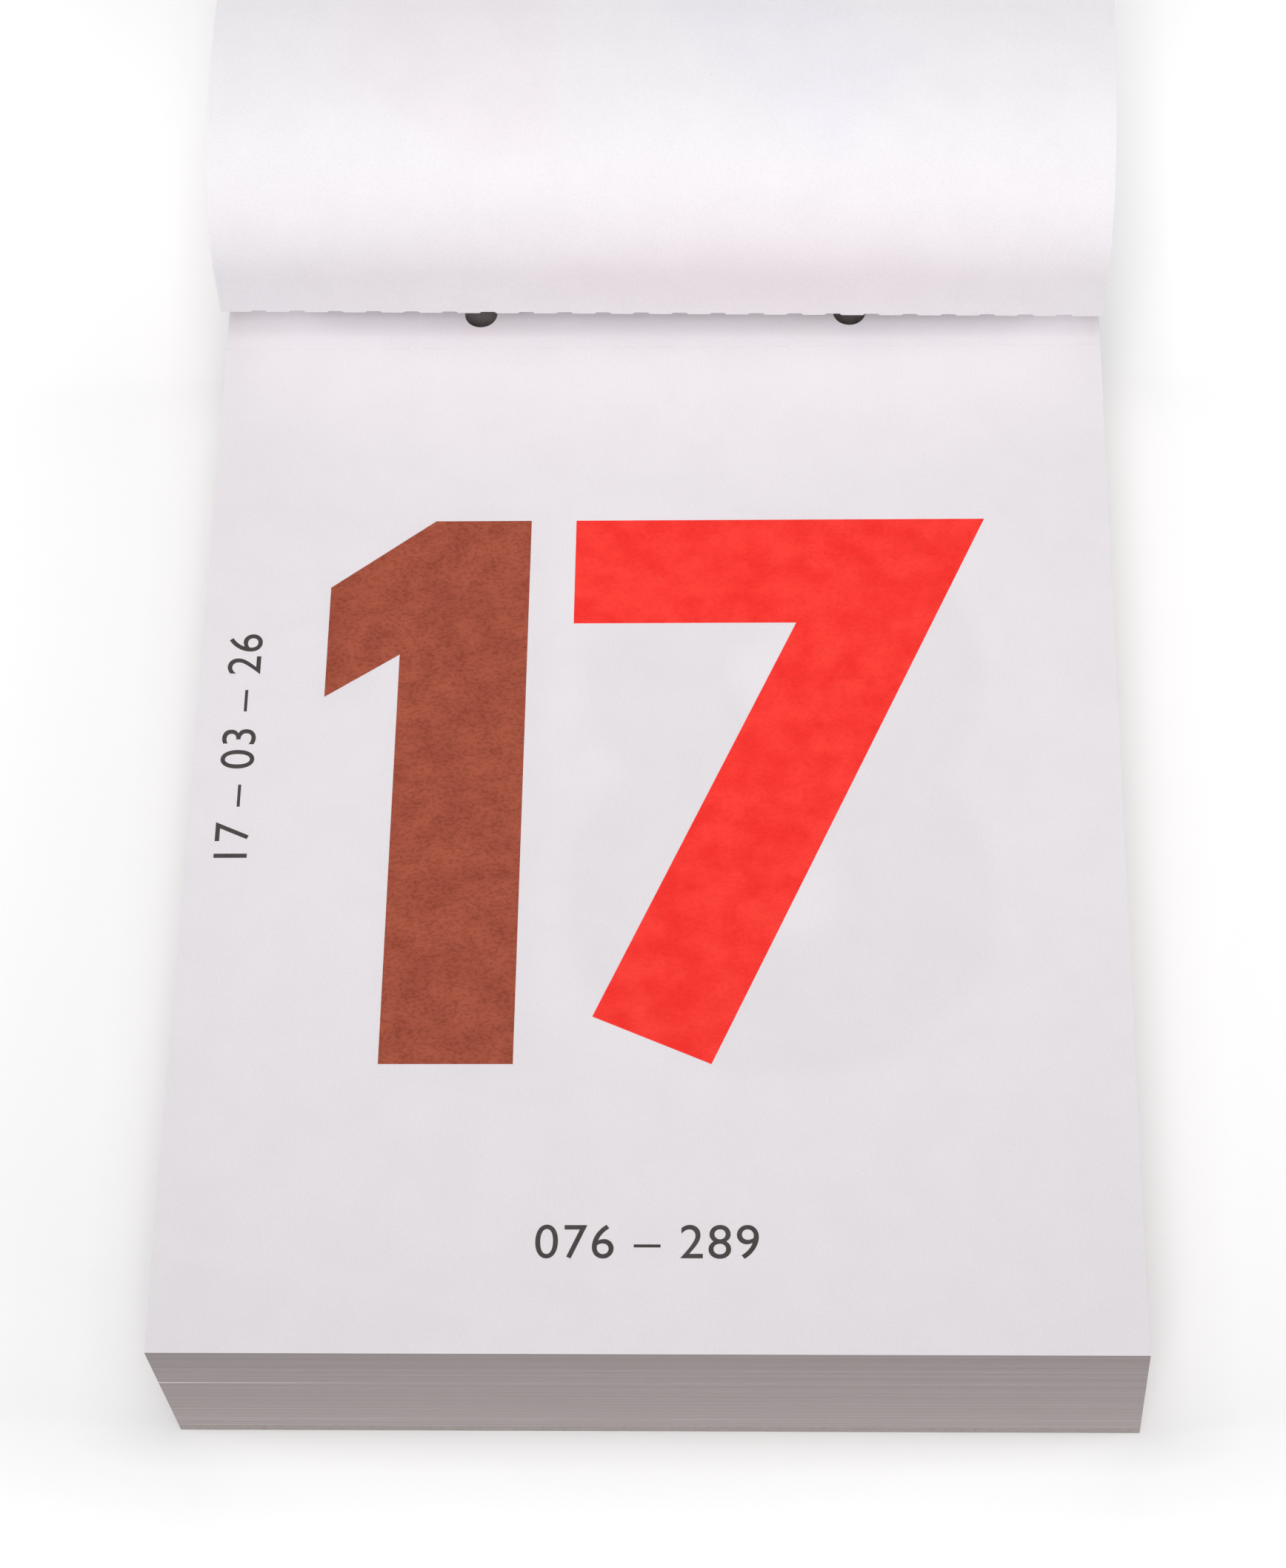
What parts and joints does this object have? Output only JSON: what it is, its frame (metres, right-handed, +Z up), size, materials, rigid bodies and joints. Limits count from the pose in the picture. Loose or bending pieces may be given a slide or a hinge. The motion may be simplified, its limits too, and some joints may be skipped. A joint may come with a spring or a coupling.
{
  "type": "tear-off day calendar",
  "caption": "Glued block of day sheets on a stiff board, open at one day, with perforated leaves that tear off and the sheet of the day before folded back over the head.",
  "frame": {"origin": "centre of the board's underside, on the table", "axes": "+X across the page to its right, +Y along the page from its foot to its glued head, +Z up from the table"},
  "size_m": [0.1208, 0.2463, 0.0619],
  "materials": {
    "page_paper": "uncoated, matt",
    "folded_paper": "uncoated, matt, slightly see-through",
    "block_paper": "trimmed sheet edges",
    "greyboard": "raw greyboard",
    "padding_glue": "dried white padding glue"
  },
  "bodies": {
    "pad": {"backing_board": "greyboard", "spine_glue": "padding_glue", "december_sheets": "block_paper", "november_sheets": "block_paper", "october_sheets": "block_paper", "september_sheets": "block_paper", "august_sheets": "block_paper", "july_sheets": "block_paper", "june_sheets": "block_paper", "may_sheets": "block_paper", "april_sheets": "block_paper", "march_sheets": "block_paper", "stub_22": "block_paper", "stub_21": "block_paper", "stub_20": "block_paper", "stub_19": "block_paper", "stub_18": "block_paper"},
    "leaf_22": {"leaf_22": "block_paper"},
    "leaf_21": {"leaf_21": "block_paper"},
    "leaf_20": {"leaf_20": "block_paper"},
    "leaf_19": {"leaf_19": "block_paper"},
    "leaf_18": {"leaf_18": "block_paper"},
    "stub_17": {"stub_17": "page_paper"},
    "leaf_17": {"leaf_17": "page_paper"},
    "folded_stub": {"folded_stub": "folded_paper"},
    "folded_leaf": {"folded_leaf": "folded_paper"}
  },
  "joints": [
    {"name": "sheet_17_lift", "type": "hinge", "parent": "pad", "child": "stub_17", "pos_m": [0, 0.08, 0.02694], "axis": [-1, 0, 0], "range_deg": [0, 13]},
    {"name": "leaf_17_tear", "type": "slide", "parent": "stub_17", "child": "leaf_17", "axis": [0, -1, 0], "range_m": [0, 0.155]},
    {"name": "folded_stub_lift", "type": "hinge", "parent": "pad", "child": "folded_stub", "pos_m": [0, 0.08, 0.02706], "axis": [-1, 0, 0], "range_deg": [-14, 0]},
    {"name": "folded_leaf_turn", "type": "hinge", "parent": "folded_stub", "child": "folded_leaf", "pos_m": [0, 0.06791, 0.03432], "axis": [1, 0, 0], "range_deg": [0, 50]},
    {"name": "leaf_18_tear", "type": "slide", "parent": "pad", "child": "leaf_18", "axis": [0, -1, 0], "range_m": [0, 0.155]},
    {"name": "leaf_19_tear", "type": "slide", "parent": "pad", "child": "leaf_19", "axis": [0, -1, 0], "range_m": [0, 0.155]},
    {"name": "leaf_20_tear", "type": "slide", "parent": "pad", "child": "leaf_20", "axis": [0, -1, 0], "range_m": [0, 0.155]},
    {"name": "leaf_21_tear", "type": "slide", "parent": "pad", "child": "leaf_21", "axis": [0, -1, 0], "range_m": [0, 0.155]},
    {"name": "leaf_22_tear", "type": "slide", "parent": "pad", "child": "leaf_22", "axis": [0, -1, 0], "range_m": [0, 0.155]}
  ]
}
